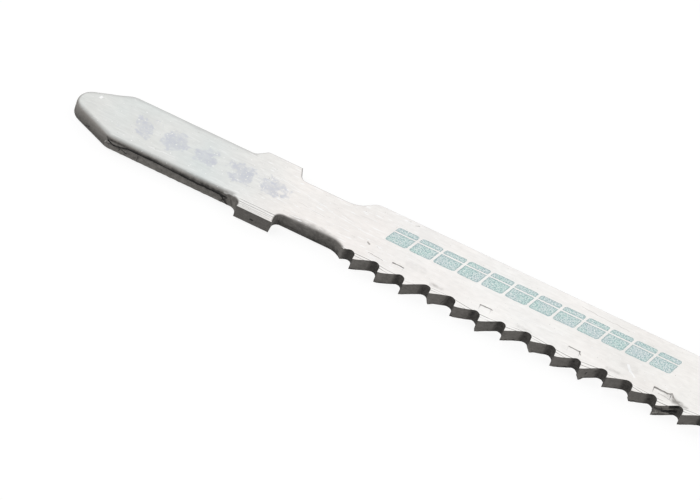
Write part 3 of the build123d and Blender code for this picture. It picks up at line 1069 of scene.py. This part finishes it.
for x, z, angle, length, width, strength, dark in WALL_MARKS_AND_LUMP_LIGHT:
    mask = use(
        tree, mark_line, x=along, y=crooked_level, start_x=x, start_y=z, angle=math.radians(angle),
        length=length, width=width,
    )
    mask = calc(tree, "MULTIPLY", mask, ramp(tree, across, -1.9, -1.8, strength, 0.0))
    wall_colour = tint(tree, mask, wall_colour, colour(10, 9, 9) if dark else colour(190, 187, 182))
print(len(WALL_MARKS_AND_LUMP_LIGHT), "marks on the walls, many of them on the scored tooth")

# %% Grime, painted shade and shine
steel_colour = tint(tree, coat_and_rim_shade_mask, face_colour, wall_colour)
steel_colour = tint(tree, grime_and_crevice_shade_mask, steel_colour, colour(17, 16, 16))
tree.links.new(steel_colour, surface.inputs["Base Color"])

bare = calc(tree, "MULTIPLY", bright, calc(tree, "SUBTRACT", 1.0, all_ink))
metal = calc(tree, "MULTIPLY", bare, calc(tree, "SUBTRACT", 1.0, grime_and_crevice_shade_mask), clamp=True)
tree.links.new(metal, surface.inputs["Metallic"])

dull = ramp_line(tree, metal, 0.0, 1.0, 0.62, 0.36)
cloudy = ramp_line(tree, clouds(tree, 0.7, (0.4, 1, 1)), 0.3, 0.7, -0.05, 0.07)
tree.links.new(calc(tree, "ADD", dull, cloudy, clamp=True), surface.inputs["Roughness"])
surface.inputs["Specular IOR Level"].default_value = 0.25

grain_height = calc(tree, "MULTIPLY", brushed, 3.0)
wall_height = calc(tree, "MULTIPLY", calc(tree, "MULTIPLY", streaks, 4.0), coat_and_rim_shade_mask)
relief = calc(tree, "ADD", calc(tree, "ADD", grain_height, wall_height), calc(tree, "MULTIPLY", all_ink, 0.3))
bump = add(tree, "Bump", {"Strength": 0.5, "Distance": 0.00001, "Height": relief})
tree.links.new(bump.outputs["Normal"], surface.inputs["Normal"])
blade_mesh.materials.append(steel)
print("nodes in the finish:", len(tree.nodes))


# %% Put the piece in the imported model's place
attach(blade, "root")
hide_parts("blade")

# %% [markdown]
# ## Floor and light
#
# The photograph shows the blade on plain white, with no more than a breath of shadow. A real white
# table would turn grey here and there, so most of this floor's white is a glow that only the eye and
# mirrors see, and the small part that is lit keeps the shadow. The room is an even white tent: bright
# steel shows little but what it reflects. One soft lamp adds a direction. It is kept out of mirror
# images, or the face would burn out to white wherever the lamp's image falls on it.

# %% Floor
FLOOR_GREY = 0.2
FLOOR_GLOW = 0.83
floor_level = cad_box[0].z
floor_bm = bmesh.new()
bmesh.ops.create_grid(floor_bm, x_segments=1, y_segments=1, size=3.0)
bmesh.ops.translate(floor_bm, vec=(0, 0, floor_level), verts=floor_bm.verts)
floor_mesh = bpy.data.meshes.new("floor")
floor_bm.to_mesh(floor_mesh)
floor_bm.free()
floor = bpy.data.objects.new("floor", floor_mesh)
bpy.context.scene.collection.objects.link(floor)


def seen_or_mirrored(tree):
    """1 where a ray comes from the eye, a mirror or glass, and 0 where it only carries light."""
    rays = add(tree, "LightPath")
    direct = calc(tree, "MAXIMUM", rays.outputs["Is Camera Ray"], rays.outputs["Is Glossy Ray"])
    return calc(tree, "MAXIMUM", direct, rays.outputs["Is Transmission Ray"])


white_floor = bpy.data.materials.new("white_floor")
white_floor.use_nodes = True
tree = white_floor.node_tree
tree.nodes.clear()
matte = add(tree, "BsdfDiffuse", {"Color": (FLOOR_GREY, FLOOR_GREY, FLOOR_GREY, 1)})
glow_strength = calc(tree, "MULTIPLY", seen_or_mirrored(tree), FLOOR_GLOW)
glow = add(tree, "Emission", {"Color": (1, 1, 1, 1), "Strength": glow_strength})
both = add(tree, "AddShader", {0: matte.outputs[0], 1: glow.outputs[0]})
add(tree, "OutputMaterial", {"Surface": both.outputs[0]})
floor_mesh.materials.append(white_floor)
print("floor at, mm:", round(floor_level / MM, 3))

# %% World and lamp
TENT_LIGHT = 0.75
world = bpy.data.worlds.new("white_tent")
world.use_nodes = True
bpy.context.scene.world = world
tree = world.node_tree
tree.nodes.clear()
tent_strength = ramp(tree, seen_or_mirrored(tree), 0.0, 1.0, TENT_LIGHT, 1.0)
tent = add(tree, "Background", {"Color": (1, 1, 1, 1), "Strength": tent_strength})
add(tree, "OutputWorld", {"Surface": tent.outputs[0]})


def lamp(name, place, size, power):
    """A square soft lamp that looks at the blade."""
    light = bpy.data.lights.new(name, "AREA")
    light.size = size
    light.energy = power
    made = bpy.data.objects.new(name, light)
    made.location = place
    made.rotation_mode = "QUATERNION"
    made.rotation_quaternion = (AIM - Vector(place)).to_track_quat("-Z", "Y")
    made.visible_glossy = False
    bpy.context.scene.collection.objects.link(made)
    return made


key = lamp("key", (-0.35, -0.12, 0.55), 0.5, 1.2)
bpy.context.scene.view_settings.view_transform = "Standard"
print("lamp", key.name, "at, mm:", [round(c / MM) for c in key.location])
